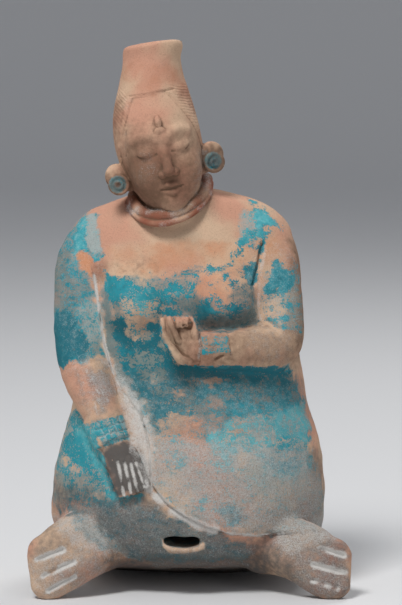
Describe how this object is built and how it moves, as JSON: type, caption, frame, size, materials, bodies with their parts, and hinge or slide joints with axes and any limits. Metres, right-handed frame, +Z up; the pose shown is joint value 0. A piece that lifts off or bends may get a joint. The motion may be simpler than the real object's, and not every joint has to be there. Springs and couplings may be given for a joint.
{
  "type": "seated clay figure",
  "caption": "Seated woman in hollow fired clay with worn blue paint, a tall flared headdress, round ear ornaments, a coiled collar, a hand raised at the chest and the feet turned out.",
  "frame": {"origin": "bottom centre of the bounding box, on the ground the figure rests on", "axes": "+Z up, the figure faces -Y, +X is the viewer's right"},
  "size_m": [0.126, 0.0912, 0.2181],
  "materials": {
    "clay": "matt fired clay, worn paint"
  },
  "bodies": {
    "root": {"figure": "clay"}
  },
  "joints": []
}
